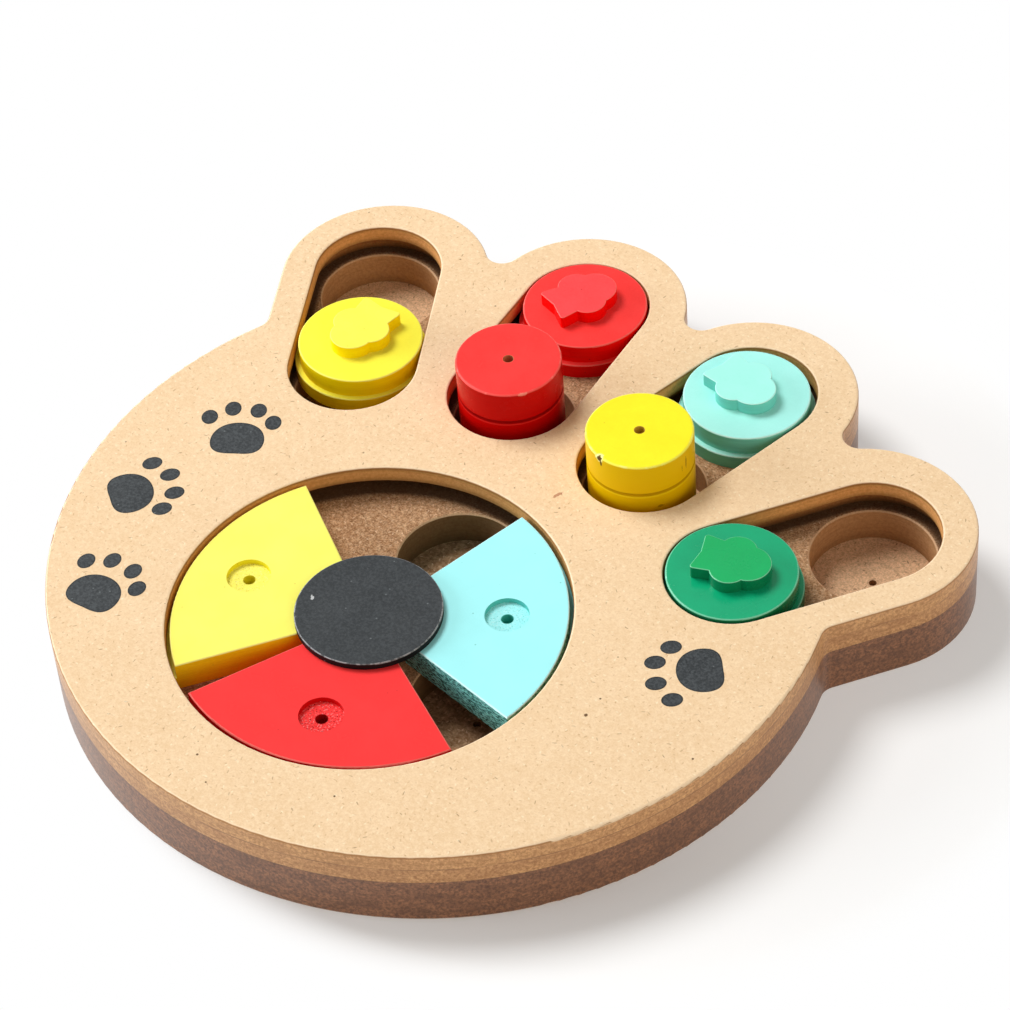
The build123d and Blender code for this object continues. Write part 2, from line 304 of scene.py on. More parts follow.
wearShape = {  # rise of the normal over a rounded edge, and how far rubbing goes
    "rise": (0.2, 0.45), "fall": (0.995, 0.9), "detail": 4.0, "rough": 0.7, "limit": 0.75, "reach": 0.5,
    "contrast": 9.0,
}


def makeEdgeWear():
    # the small rounding along an upper edge, and where it has rubbed
    tree, given, result = newGroup(
        "edgeWear", [("Patch Scale", floatKind, 120.0), ("Rubbed", floatKind, 0.5)], ["Edge", "Worn"])
    edge = between(tree, normalRise(tree), wearShape["rise"], wearShape["fall"])
    patches = noise(tree, ownPlace(tree), given["Patch Scale"], wearShape["detail"], wearShape["rough"])
    limit = calc(tree, "SUBTRACT", wearShape["limit"], times(tree, given["Rubbed"], wearShape["reach"]))
    above = calc(tree, "SUBTRACT", patches, limit)
    above = calc(tree, "MULTIPLY", above, wearShape["contrast"], clamp=True)
    feed(tree, edge, result["Edge"])
    feed(tree, times(tree, edge, above), result["Worn"])
    return tree


skinNoise = {"Mottle": (90.0, 4.0, 0.6), "Fine": (1500.0, 3.0, 0.65)}  # scale, detail and roughness
skinShape = {"peel": (900.0, 2.0, 0.5), "speckScale": 480.0, "speckBand": (0.17, 0.06), "speckRelief": 0.8}


def makePaintSkin():
    # sprayed paint over fibreboard: a faint mottle, stray specks and orange peel
    tree, given, result = newGroup(
        "paintSkin", [("Seed", vectorKind, (0, 0, 0)), ("Speck Share", floatKind, 0.12)],
        [*skinNoise, "Specks", "Height"])
    place = vectors(tree, "ADD", ownPlace(tree), given["Seed"])
    reach, pick = scatter(tree, place, skinShape["speckScale"])
    chosen = calc(tree, "LESS_THAN", pick[1], given["Speck Share"])
    specks = times(tree, ramp(tree, reach, *skinShape["speckBand"]), chosen)
    peel = noise(tree, place, *skinShape["peel"])
    for label, settings in skinNoise.items():
        feed(tree, noise(tree, place, *settings), result[label])
    feed(tree, specks, result["Specks"])
    feed(tree, calc(tree, "ADD", peel, times(tree, specks, skinShape["speckRelief"])), result["Height"])
    return tree


spotShape = {
    "edge": (1400.0, 3.0, 0.7), "mask": (1.0, 0.75), "rimOuter": (1.45, 1.15), "rimInner": (0.8, 1.0),
}


def makeSpot():
    # one ragged mark about a point: a chip, a scuff or a stain
    tree, given, result = newGroup(
        "raggedSpot",
        [("Centre", vectorKind, (0, 0, 0)), ("Size", vectorKind, (0.001, 0.001, 0.001)),
         ("Turn", floatKind, 0.0), ("Ragged", floatKind, 1.6)],
        ["Mask", "Rim"])
    away = vectors(tree, "SUBTRACT", ownPlace(tree), given["Centre"])
    reach = length(tree, vectors(tree, "DIVIDE", turned(tree, away, given["Turn"]), given["Size"]))
    edge = calc(tree, "SUBTRACT", noise(tree, ownPlace(tree), *spotShape["edge"]), 0.5)
    reach = calc(tree, "ADD", reach, times(tree, edge, given["Ragged"]))
    feed(tree, ramp(tree, reach, *spotShape["mask"]), result["Mask"])
    feed(tree, between(tree, reach, spotShape["rimOuter"], spotShape["rimInner"]), result["Rim"])
    return tree


fibreFleck, boardGrain, cutSide = makeFibreFleck(), makeBoardGrain(), makeCutSide()
pocketFloor, openingReach = makePocketFloor(), makeOpeningReach()
edgeWear, paintSkin, raggedSpot = makeEdgeWear(), makePaintSkin(), makeSpot()
print("groups:", ", ".join(group.name for group in bpy.data.node_groups))


# materials

def newMaterial(name):
    material = bpy.data.materials.new(name)
    material.use_nodes = True
    tree = material.node_tree
    tree.nodes.clear()
    shader = put(tree, "ShaderNodeBsdfPrincipled")
    put(tree, "ShaderNodeOutputMaterial", {"Surface": shader.outputs[0]})
    return material, tree, shader.inputs


def bump(tree, height, distance, strength):
    inputs = {"Height": height, "Distance": distance, "Strength": strength}
    return put(tree, "ShaderNodeBump", inputs).outputs[0]


plainSpot = {"turn": 0.0, "ragged": 1.6, "share": 1.0}


def addSpots(tree, base, spots):
    for spot in spots:
        spot = {**plainSpot, **spot}
        inputs = {"Centre": spot["centre"], "Size": spot["size"], "Turn": spot["turn"],
                  "Ragged": spot["ragged"]}
        mark = useGroup(tree, raggedSpot, inputs)
        if "rim" in spot:
            base = mixColour(tree, mark["Rim"], base, spot["rim"])
        base = mixColour(tree, times(tree, mark["Mask"], spot["share"]), base, spot["colour"])
    return base


boardBands = {  # where each pattern begins to show and where it is full
    "cloud": (0.3, 0.7), "blotch": (0.35, 0.72), "fine": (0.3, 0.7), "rings": (0.55, 0.7),
    "speckle": (0.3, 0.7), "tone": (0.35, 0.7), "streaks": (0.5, 0.75),
    "boredSpeckle": (0.3, 0.75), "boredStreaks": (0.45, 0.7),
    "footShade": (0.4, 0.0), "topScorchAndShade": (0.7, 0.98),
    "palm": inMm(60, 56), "outer": inMm(7, 9), "underLip": inMm(-1.8, 0.6), "seam": inMm(0.3, 0.05),
    "upward": (0.0, 0.5), "burntRise": (0.05, 0.25), "burntFall": (0.85, 0.55),
    "edgeRise": (0.55, 0.7), "edgeFall": (0.998, 0.95), "seamBreaks": (0.34, 0.55),
}
boardFinish = {
    "pocketDepth": 8 * mm, "pocketSmooth": 0.45, "dots": 0.7, "fleckStep": (0.37, 0.21),
    "boredSpeckle": 0.6, "boredStreaks": 0.35, "boredRough": 0.95, "seamNoise": (45.0, 4.0, 0.7),
    "coatRough": 0.38, "coatIor": 1.5, "sideRelief": 0.8, "relief": 0.07 * mm, "reliefStrength": 0.6,
}


def boardFace(tree, look, grain, side, distance, palm):
    # routed or pressed faces, pocket floors and the shade under a lip
    face = mixColour(tree, ramp(tree, grain["Cloud"], *boardBands["cloud"]), look["face"], look["faceDeep"])
    fine = ramp(tree, grain["Fine"], *boardBands["fine"], 0.0, look["fineShare"])
    pocket = look.get("pocket")
    if pocket:  # pocket floors: smoother than the other faces, painted lighter in the slots' pockets (painted light) and darker near the wheel (painted shade)
        bored = useGroup(tree, pocketFloor, {"Depth": boardFinish["pocketDepth"]})
        deep = mixColour(tree, palm, pocket["slot"], pocket["palm"])
        face = mixColour(tree, times(tree, bored["Floor"], pocket["share"]), face, deep)
        rings = ramp(tree, bored["Rings"], *boardBands["rings"], 0.0, pocket["ringShare"])
        face = mixColour(tree, times(tree, bored["Floor"], rings), face, pocket["ring"])
        smooth = calc(tree, "MULTIPLY_ADD", bored["Floor"], -boardFinish["pocketSmooth"], 1.0)
        fine = times(tree, fine, smooth)
    blotch = ramp(tree, grain["Blotch"], *boardBands["blotch"], 0.0, look["blotchShare"])
    face = mixColour(tree, blotch, face, look["blotch"])
    face = mixColour(tree, fine, face, look["fine"])
    stepX, stepY = boardFinish["fleckStep"]
    for index, fleck in enumerate(look.get("flecks", ())):
        inputs = {"Seed": (stepX * index, stepY * index, 0), "Cells": fleck["cells"],
                  "Length": fleck["length"], "Width": fleck["width"], "Share": fleck["share"]}
        mask = times(tree, useGroup(tree, fibreFleck, inputs)["Mask"], fleck["strength"])
        face = mixColour(tree, mask, face, fleck["colour"])
    face = mixColour(tree, times(tree, grain["Dots"], boardFinish["dots"]), face, look["dot"])
    if "under" in look:
        under = ramp(tree, distance, *boardBands["underLip"], 0.0, look["underShare"])
        under = times(tree, under, ramp(tree, side["Rise"], *boardBands["upward"]))
        face = mixColour(tree, under, face, look["under"])
    return face


def boardSide(tree, look, side, height, outer, palm):
    # the outer rim, and the walls of slots and pockets, with painted shade at their foot and near the wheel,
    # and scorching and painted shade at their top
    cut = mixColour(tree, ramp(tree, side["Speckle"], *boardBands["speckle"]), look["cut"], look["cutDeep"])
    tone = ramp(tree, side["Tone"], *boardBands["tone"], 0.0, look["toneShare"])
    cut = mixColour(tree, tone, cut, look["cutDeep"])
    streak = ramp(tree, side["Streaks"], *boardBands["streaks"], 0.0, look["streakShare"])
    cut = mixColour(tree, streak, cut, look["streak"])
    speckle = ramp(tree, side["Speckle"], *boardBands["boredSpeckle"], 0.0, boardFinish["boredSpeckle"])
    bored = mixColour(tree, speckle, look["bored"], look["boredDeep"])
    streak = ramp(tree, side["Streaks"], *boardBands["boredStreaks"], 0.0, boardFinish["boredStreaks"])
    bored = mixColour(tree, streak, bored, look["boredDeep"])
    wallLow, wallHigh, lowDark, highDark = look["wall"]
    level = calc(tree, "DIVIDE", calc(tree, "SUBTRACT", height, wallLow), wallHigh - wallLow)
    low = ramp(tree, level, *boardBands["footShade"], 0.0, lowDark)
    high = ramp(tree, level, *boardBands["topScorchAndShade"], 0.0, highDark)
    bored = mixColour(tree, calc(tree, "MAXIMUM", low, high), bored, look["scorchAndShade"])
    # painted shade on the walls near the wheel
    bored = mixColour(tree, times(tree, palm, look["palmShare"]), bored, look["scorchAndShade"])
    return mixColour(tree, outer, bored, cut)


def fibreboard(name, look):
    material, tree, shader = newMaterial(name)
    grain = useGroup(tree, boardGrain, {"Seed": look["seed"], "Dot Share": look["dotShare"]})
    side = useGroup(tree, cutSide, {"Seed": look["seed"]})
    height = parts(tree, ownPlace(tree))[2]
    distance = useGroup(tree, openingReach)["Distance"]
    outer = ramp(tree, distance, *boardBands["outer"])  # the rim of the paw, away from slots and pockets
    palm = ramp(tree, reachFrom(tree, inMm(*openingPlan["wheel"])), *boardBands["palm"])
    face = boardFace(tree, look, grain, side, distance, palm)
    base = mixColour(tree, side["Side"], face, boardSide(tree, look, side, height, outer, palm))
    if "burnt" in look:
        burnt = between(tree, side["Rise"], boardBands["burntRise"], boardBands["burntFall"])
        base = mixColour(tree, times(tree, burnt, look["burntShare"]), base, look["burnt"])
    # painted highlight along the rounded upper edges and pocket rims
    if "edge" in look:
        bright = between(tree, side["Rise"], boardBands["edgeRise"], boardBands["edgeFall"])
        base = mixColour(tree, times(tree, bright, look["edgeHighlightShare"]), base, look["edge"])
    offset = calc(tree, "ABSOLUTE", calc(tree, "SUBTRACT", height, look["glueLine"]))
    broken = ramp(tree, noise(tree, ownPlace(tree), *boardFinish["seamNoise"]), *boardBands["seamBreaks"])
    seam = times(tree, ramp(tree, offset, *boardBands["seam"]), side["Side"], broken, look["seamShare"])
    base = mixColour(tree, seam, base, look["seam"])
    feed(tree, addSpots(tree, base, look.get("spots", ())), shader["Base Color"])
    cutRough = ramp(tree, outer, 0.0, 1.0, boardFinish["boredRough"], look["cutRough"])
    feed(tree, ramp(tree, side["Side"], 0.0, 1.0, look["faceRough"], cutRough), shader["Roughness"])
    feed(tree, times(tree, side["Side"], outer, look["seal"]), shader["Coat Weight"])  # the rim is sealed
    shader["Coat Roughness"].default_value = boardFinish["coatRough"]
    shader["Coat IOR"].default_value = boardFinish["coatIor"]
    shader["Specular IOR Level"].default_value = look["specular"]
    onSides = times(tree, side["Speckle"], side["Side"], boardFinish["sideRelief"])
    relief = calc(tree, "ADD", grain["Fine"], onSides)
    feed(tree, bump(tree, relief, boardFinish["relief"], boardFinish["reliefStrength"]), shader["Normal"])
    return material


paintBands = {  # where each pattern begins to show and where it is full
    "mottle": (0.25, 0.75), "fine": (0.35, 0.7), "streaks": (0.35, 0.68), "dashes": (0.48, 0.57),
    "paleDashes": (0.44, 0.34), "rough": (0.2, 0.8),
    # the same for recesses and bores, past their radius or above their floor
    "recess": inMm(0.5, 0.2), "recessFloor": inMm(0.25, 0.1), "recessHole": inMm(0.25, -0.1),
    "bore": inMm(0.15, 0.02),
}
paintFinish = {
    "paleDashes": 0.6, "specks": 0.5, "worn": 0.7, "roughSpread": (-0.05, 0.07), "tornRelief": 2.5,
    "relief": 0.02 * mm, "reliefStrength": 0.5,
}
tornFibres = {
    "dark": {"Cells": 1300.0, "Length": 0.45, "Width": 0.2, "Share": 0.85},
    "pale": {"Cells": 1200.0, "Length": 0.45, "Width": 0.2, "Share": 0.8},
}
grooveBands = {  # heights about the middle of a peg's groove: rising to full, then falling away
    "clean": (inMm(-1.7, -1.5), inMm(1.5, 1.3)), "ring": (inMm(-0.75, -0.35), inMm(0.75, 0.35)),
    "lip": (inMm(-1.4, -1.0), inMm(-0.6, -0.9)),
}
grooveShares = {"ring": 0.65, "lip": 0.3}


def withinLimit(tree, value, limit, band):
    start, full = band
    return ramp(tree, value, limit + start, limit + full)


def addRecess(tree, look, face, upright, height):
    # finger recess: a wall painted darker as painted shade, and a floor of torn fibres with the mark of the
    # bit's point, whose hole is painted darker as painted shade
    recess = look["recess"]
    reach = reachFrom(tree, recess["centre"])
    inside = withinLimit(tree, reach, recess["radius"], paintBands["recess"])
    face = mixColour(tree, times(tree, inside, upright), face, recess["wall"])
    upright = times(tree, upright, calc(tree, "SUBTRACT", 1.0, inside))
    low = withinLimit(tree, parts(tree, ownPlace(tree))[2], recess["floor"], paintBands["recessFloor"])
    low = times(tree, low, inside)
    dark = useGroup(tree, fibreFleck, dict(tornFibres["dark"], Seed=look["seed"]))["Mask"]
    pale = useGroup(tree, fibreFleck, tornFibres["pale"])["Mask"]
    face = mixColour(tree, times(tree, low, dark, recess["torn"]), face, recess["dark"])
    face = mixColour(tree, times(tree, low, pale, recess["torn"]), face, recess["light"])
    hole = times(tree, low, withinLimit(tree, reach, recess["hole"], paintBands["recessHole"]))
    face = mixColour(tree, hole, face, recess["deep"])
    torn = times(tree, calc(tree, "SUBTRACT", pale, dark), low, recess["torn"], paintFinish["tornRelief"])
    return face, upright, calc(tree, "ADD", height, torn)


def paintedWood(name, look):
    material, tree, shader = newMaterial(name)
    skin = useGroup(tree, paintSkin, {"Seed": look["seed"], "Speck Share": look["speckShare"]})
    side = useGroup(tree, cutSide, {"Seed": look["seed"]})
    wear = useGroup(tree, edgeWear, {"Patch Scale": look["patchScale"], "Rubbed": look["rubbed"]})
    face = mixColour(tree, ramp(tree, skin["Mottle"], *paintBands["mottle"]), look["face"], look["faceDeep"])
    fine = ramp(tree, skin["Fine"], *paintBands["fine"], 0.0, look["fineShare"])
    face = mixColour(tree, fine, face, look["fine"])
    streak = ramp(tree, side["Streaks"], *paintBands["streaks"], 0.0, look["streaks"])
    # upright faces take the side colours, deeper copies of the face paint: painted shade
    cut = mixColour(tree, streak, look["side"], look["sideDeep"])
    if "dashes" in look:
        dash = ramp(tree, side["Dashes"], *paintBands["dashes"], 0.0, look["dashes"])
        cut = mixColour(tree, dash, cut, look["dash"])
        paleShare = paintFinish["paleDashes"] * look["dashes"]
        pale = ramp(tree, side["Dashes"], *paintBands["paleDashes"], 0.0, paleShare)
        cut = mixColour(tree, pale, cut, look["face"])
    upright, height = side["Side"], skin["Height"]
    if "recess" in look:
        face, upright, height = addRecess(tree, look, face, upright, height)
    base = mixColour(tree, upright, face, cut)
    base = mixColour(tree, times(tree, skin["Specks"], paintFinish["specks"]), base, look["speck"])
    # edges: the rubbed patches are wear; the share all along the rounding is painted highlight
    worn = times(tree, wear["Worn"], paintFinish["worn"])
    wearAndHighlight = calc(tree, "MAXIMUM", worn, times(tree, wear["Edge"], look["edgeHighlightShare"]))
    base = mixColour(tree, wearAndHighlight, base, look["edge"])
    smoothest, roughest = (look["rough"] + step for step in paintFinish["roughSpread"])
    rough = ramp(tree, skin["Mottle"], *paintBands["rough"], smoothest, roughest)
    groove = look.get("groove")
    if groove:  # turned ring round a peg: painted shade in the groove, with a painted highlight line below
        above = calc(tree, "SUBTRACT", parts(tree, ownPlace(tree))[2], groove["height"])
        clean, ring, lip = (between(tree, above, *grooveBands[part]) for part in ("clean", "ring", "lip"))
        base = mixColour(tree, clean, base, cut)
        base = mixColour(tree, times(tree, ring, grooveShares["ring"]), base, groove["colour"])
        base = mixColour(tree, times(tree, lip, grooveShares["lip"]), base, look["face"])
        rough = calc(tree, "MAXIMUM", rough, ring)
    bore = look.get("bore")
    if bore:  # bare wood in the drilled hole
        drilled = withinLimit(tree, reachFrom(tree, bore["centre"]), bore["radius"], paintBands["bore"])
        base = mixColour(tree, drilled, base, bore["wood"])
    feed(tree, addSpots(tree, base, look.get("spots", ())), shader["Base Color"])
    feed(tree, rough, shader["Roughness"])
    shader["Specular IOR Level"].default_value = look["specular"]
    feed(tree, bump(tree, height, paintFinish["relief"], paintFinish["reliefStrength"]), shader["Normal"])
    return material


def brushedSteel(name, look):
    material, tree, shader = newMaterial(name)
    streaks = useGroup(tree, cutSide)["Streaks"]
    feed(tree, mixColour(tree, streaks, look["bright"], look["dull"]), shader["Base Color"])
    feed(tree, ramp(tree, streaks, *look["streaks"], *look["rough"]), shader["Roughness"])
    shader["Metallic"].default_value = 1.0
    return material


def dress(node, material):
    mesh = nodes[node].data
    mesh.materials.clear()
    mesh.materials.append(material)


# board: three glued layers of fibreboard

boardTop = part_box("top_board")[1].z
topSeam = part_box("top_board")[0].z
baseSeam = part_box("base_board")[1].z
pocketBottom = 4.5 * mm

boardSpecks = (  # dark specks in the board: place and size in mm
    (69.9, -33.4, 0.55), (69.3, -26.7, 0.32), (-2.2, -105.1, 0.4),
    (101.3, -28.4, 0.36), (35.9, -93.9, 0.34), (6.1, -110.6, 0.3),
)
boardStain = {
    "centre": (*inMm(12.5, 24.8), boardTop), "size": inMm(1.9, 0.55, 0.4), "turn": -1.3,
    "colour": colour(164, 92, 58), "share": 0.7,
}
lightLook = {  # what the top layer and the spacer have in common
    "dotShare": 0.24, "faceRough": 0.66, "cutRough": 0.6, "specular": 0.15, "seal": 0.8,
    "blotch": colour(252, 225, 188), "blotchShare": 0.65, "fine": colour(220, 182, 136), "fineShare": 0.38,
    "dot": colour(122, 82, 54), "toneShare": 0.5, "streak": colour(150, 100, 54), "streakShare": 0.48,
    "palmShare": 0.15, "glueLine": topSeam, "seam": colour(120, 78, 44), "seamShare": 0.7,
}
topLook = {
    **lightLook, "seed": (0, 0, 0), "face": colour(242, 210, 169), "faceDeep": colour(237, 204, 162),
    "flecks": (
        {"cells": 170.0, "length": 0.13, "width": 0.035, "share": 0.55, "strength": 0.6,
         "colour": colour(146, 104, 66)},
        {"cells": 420.0, "length": 0.2, "width": 0.09, "share": 0.6, "strength": 0.58,
         "colour": colour(194, 150, 106)},
        {"cells": 380.0, "length": 0.2, "width": 0.09, "share": 0.5, "strength": 0.52,
         "colour": colour(255, 242, 214)},
    ),
    "cut": colour(222, 170, 112), "cutDeep": colour(166, 114, 62),
    "bored": colour(236, 176, 108), "boredDeep": colour(192, 130, 70),
    "wall": (topSeam, boardTop, 0.5, 0.75),  # bottom and top of the bored walls, and how dark there: painted shade at the foot, scorching and painted shade at the top
    "scorchAndShade": colour(96, 58, 26),
    "burnt": colour(160, 104, 48), "burntShare": 0.75, "edge": colour(255, 232, 200), "edgeHighlightShare": 0.4,
    "spots": (boardStain,) + tuple(
        {"centre": (*inMm(x, y), boardTop), "size": inMm(size, size, 0.5), "ragged": 0.8,
         "colour": colour(84, 52, 20), "share": 0.9}
        for x, y, size in boardSpecks),
}
spacerLook = {
    **lightLook, "seed": (0.3, 0.1, 0.05), "face": colour(206, 162, 120), "faceDeep": colour(192, 148, 106),
    "cut": colour(212, 160, 104), "cutDeep": colour(156, 104, 56),
    # the spacer's bored walls are darker than the top layer's: painted shade under the lip
    "bored": colour(166, 114, 66), "boredDeep": colour(122, 76, 38),
    "wall": (baseSeam, topSeam, 0.7, 0.6), "scorchAndShade": colour(66, 42, 22),
}
baseLook = {
    "seed": (0.7, 0.2, 0.4), "dotShare": 0.1, "faceRough": 0.8, "cutRough": 0.5, "specular": 0.05,
    "seal": 1.0,
    "face": colour(208, 163, 122), "faceDeep": colour(190, 145, 106),
    "blotch": colour(230, 192, 152), "blotchShare": 0.7, "fine": colour(116, 76, 46), "fineShare": 0.75,
    "flecks": (
        {"cells": 420.0, "length": 0.3, "width": 0.09, "share": 0.6, "strength": 0.7,
         "colour": colour(112, 72, 44)},
        {"cells": 520.0, "length": 0.3, "width": 0.1, "share": 0.6, "strength": 0.7,
         "colour": colour(240, 208, 174)},
    ),
    "dot": colour(90, 58, 38),
    "cut": colour(162, 108, 70), "cutDeep": colour(84, 49, 26), "toneShare": 0.55,
    "streak": colour(84, 50, 28), "streakShare": 0.4,
    "bored": colour(198, 154, 110), "boredDeep": colour(158, 116, 78),
    "under": colour(64, 41, 24), "underShare": 0.9,
    "wall": (pocketBottom, baseSeam, 0.2, 0.0), "scorchAndShade": colour(70, 54, 32), "palmShare": 0.6,
    # pocket floors are lighter in the slots' pockets as painted light, darker near the wheel as painted
    # shade; the rings are the bit's marks
    "pocket": {"slot": colour(250, 208, 165), "palm": colour(158, 122, 88), "share": 0.9,
               "ring": colour(64, 41, 24), "ringShare": 0.22},
    "edge": colour(226, 186, 146), "edgeHighlightShare": 0.6,
    "glueLine": baseSeam, "seam": colour(84, 56, 38), "seamShare": 0.5,
}
baseWood = fibreboard("baseFibreboard", baseLook)
dress("top_board", fibreboard("topFibreboard", topLook))
dress("spacer_board", fibreboard("spacerFibreboard", spacerLook))
dress("base_board", baseWood)
dress("hub_post", baseWood)
print("board: top at", round(boardTop / mm, 2), "mm, glue lines at",
      round(topSeam / mm, 2), round(baseSeam / mm, 2))


# painted sliders, pegs and covers

plainPaint = {
    "speckShare": 0.04, "patchScale": 150.0, "rubbed": 0.3, "streaks": 0.25, "specular": 0.28,
    "fineShare": 0.12, "edgeHighlightShare": 0.4,
}
# side colours are deeper copies of each face paint, painted shade on upright faces; edge colours are worn
# paint and painted highlight
paints = {
    "yellow": {
        "face": colour(255, 248, 76), "faceDeep": colour(252, 242, 68), "side": colour(255, 226, 4),
        "sideDeep": colour(236, 196, 2), "fine": colour(236, 218, 40), "edge": colour(255, 252, 150),
        "speck": colour(214, 190, 30), "rough": 0.34, "specular": 0.07,
    },
    "red": {
        "face": colour(251, 68, 65), "faceDeep": colour(247, 61, 58), "side": colour(246, 8, 6),
        "sideDeep": colour(210, 4, 4), "fine": colour(230, 36, 36), "edge": colour(255, 136, 126),
        "speck": colour(170, 16, 16), "rough": 0.24, "specular": 0.06,
    },
    "turquoise": {
        "face": colour(176, 248, 239), "faceDeep": colour(168, 243, 233), "side": colour(118, 216, 204),
        "sideDeep": colour(84, 182, 170), "fine": colour(148, 230, 218), "edge": colour(226, 255, 252),
        "speck": colour(90, 180, 170), "rough": 0.4, "specular": 0.15,
    },
    "green": {
        "face": colour(6, 170, 117), "faceDeep": colour(5, 161, 110), "side": colour(4, 124, 80),
        "sideDeep": colour(4, 96, 60), "fine": colour(4, 142, 96), "edge": colour(170, 240, 212),
        "speck": colour(8, 80, 46), "rough": 0.24,
    },
}
figureFaces = {
    "yellow": (colour(255, 252, 97), colour(254, 248, 90)),
    "red": (colour(251, 81, 83), colour(247, 75, 77)),
    "turquoise": (colour(174, 249, 236), colour(166, 244, 230)),
    "green": (colour(8, 176, 97), colour(6, 168, 91)),
}
steelLook = {
    "bright": colour(198, 198, 196), "dull": colour(150, 150, 150),
    "streaks": (0.2, 0.8), "rough": (0.25, 0.45),
}
steel = brushedSteel("plainSteel", steelLook)

for index, (name, paint) in enumerate(paints.items()):
    discLook = {**plainPaint, **paint, "seed": (0.13 * (index + 1), 0.31 * (index + 1), 0.07)}
    face, faceDeep = figureFaces[name]
    discPaint = paintedWood(name + "DiscPaint", discLook)
    figurePaint = paintedWood(name + "FigurePaint", dict(discLook, face=face, faceDeep=faceDeep))
    dress(name + "_slider_runner", discPaint)
    dress(name + "_slider_disc", discPaint)
    dress(name + "_slider_figure", figurePaint)
    dress(name + "_slider_pin", steel)
print("sliders:", ", ".join(paints))

bareWood, wornYellow, paleYellow = colour(92, 62, 20), colour(176, 132, 6), colour(255, 252, 170)
pegWearAndHighlight = {"rubbed": 0.5, "patchScale": 260.0, "streaks": 0.15, "edgeHighlightShare": 0.25}
pegBoreRadius, pegGrooveDrop = inMm(1.5, 10.4)
pegLooks = {  # paint where it differs from the sliders', with darker sides as painted shade, bare wood in the hole, the groove's painted shade, chips and scratches
    "yellow": {
        "paint": {"face": colour(253, 242, 46), "faceDeep": colour(250, 234, 40),
                  "side": colour(232, 186, 0)},
        "wood": colour(214, 178, 70), "groove": colour(164, 118, 0),
        "spots": (
            {"centre": inMm(21.5, 32.5, 38.2), "size": inMm(1.1, 1.2, 0.8), "colour": bareWood,
             "rim": paleYellow},
            {"centre": inMm(22.2, 32.3, 36.9), "size": inMm(0.4, 0.8, 0.9), "colour": bareWood},
            {"centre": inMm(38.85, 48.7, 34.3), "size": inMm(0.5, 0.4, 2.3), "colour": wornYellow,
             "share": 0.85},
            {"centre": inMm(38.7, 46.9, 33.4), "size": inMm(0.4, 0.35, 1.4), "colour": wornYellow,
             "share": 0.75},
            {"centre": inMm(36.87, 39.77, 23.4), "size": inMm(1.0, 1.0, 0.5), "colour": wornYellow,
             "share": 0.85},
        ),
    },
    "red": {
        "paint": {"side": colour(196, 4, 3), "sideDeep": colour(162, 2, 2)},
        "wood": colour(206, 120, 84), "groove": colour(112, 0, 0),
        "spots": (
            {"centre": inMm(-11.5, 39.2, 38.5), "size": inMm(1.8, 1.3, 0.45), "colour": colour(255, 160, 140),
             "share": 0.7},
        ),
    },
}
for index, (name, peg) in enumerate(pegLooks.items()):
    node = name + "_peg"
    low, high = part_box(node)
    look = {**plainPaint, **paints[name], **peg["paint"], **pegWearAndHighlight, "seed": (0.9, 0.4 + index, 0.2)}
    look["bore"] = {"centre": ((low.x + high.x) / 2, (low.y + high.y) / 2), "radius": pegBoreRadius,
                    "wood": peg["wood"]}
    look["groove"] = {"height": high.z - pegGrooveDrop, "colour": peg["groove"]}
    look["spots"] = peg["spots"]
    dress(node, paintedWood(name + "PegPaint", look))

capLow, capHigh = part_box("hub_cap")
wheelX, wheelY = (capLow.x + capHigh.x) / 2, (capLow.y + capHigh.y) / 2
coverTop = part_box("red_cover")[1].z
fingerRing, fingerRadius, fingerDepth, pointRadius = inMm(37.2, 6.1, 1.7, 1.7)
coverWearAndHighlight = {"rubbed": 0.5, "fineShare": 0.05, "edgeHighlightShare": 0.7}
coverLooks = {  # paint where it differs from the sliders', the recess's heading in degrees, and its looks; the recess's wall and hole colours are painted shade
    "yellow": {
        "paint": {"face": colour(255, 250, 116), "faceDeep": colour(255, 246, 108),
                  "side": colour(255, 224, 24), "dash": colour(206, 160, 4), "streaks": 0.3, "dashes": 0.1},
        "heading": 194.0,
        "recess": {"torn": 0.6, "dark": colour(206, 184, 24), "light": colour(255, 252, 170),
                   "deep": colour(226, 214, 44), "wall": colour(240, 226, 40)},
    },
    "red": {
        "paint": {"face": colour(252, 65, 65), "faceDeep": colour(248, 60, 60),
                  "side": colour(230, 6, 4), "dash": colour(150, 6, 6), "streaks": 0.6, "dashes": 0.4},
        "heading": 291.7,
        "recess": {"torn": 1.0, "dark": colour(160, 10, 14), "light": colour(255, 140, 140),
                   "deep": colour(170, 14, 14), "wall": colour(206, 14, 16)},
    },
    "turquoise": {
        "paint": {"face": colour(170, 248, 250), "faceDeep": colour(166, 244, 246),
                  "side": colour(150, 236, 226), "dash": colour(26, 98, 90), "streaks": 0.4, "dashes": 1.0},
        "heading": 36.9,
        "recess": {"torn": 0.5, "dark": colour(80, 186, 172), "light": colour(222, 255, 252),
                   "deep": colour(70, 186, 172), "wall": colour(92, 196, 186)},
    },
}
for index, (name, cover) in enumerate(coverLooks.items()):
    heading = math.radians(cover["heading"])
    centre = (wheelX + fingerRing * math.cos(heading), wheelY + fingerRing * math.sin(heading))
    look = {**plainPaint, **paints[name], **cover["paint"], **coverWearAndHighlight, "seed": (0.2, 0.45 * index, 0.6)}
    look["recess"] = {**cover["recess"], "centre": centre, "radius": fingerRadius, "hole": pointRadius,
                      "floor": coverTop - fingerDepth}
    dress(name + "_cover", paintedWood(name + "CoverPaint", look))
print("pegs and covers painted")

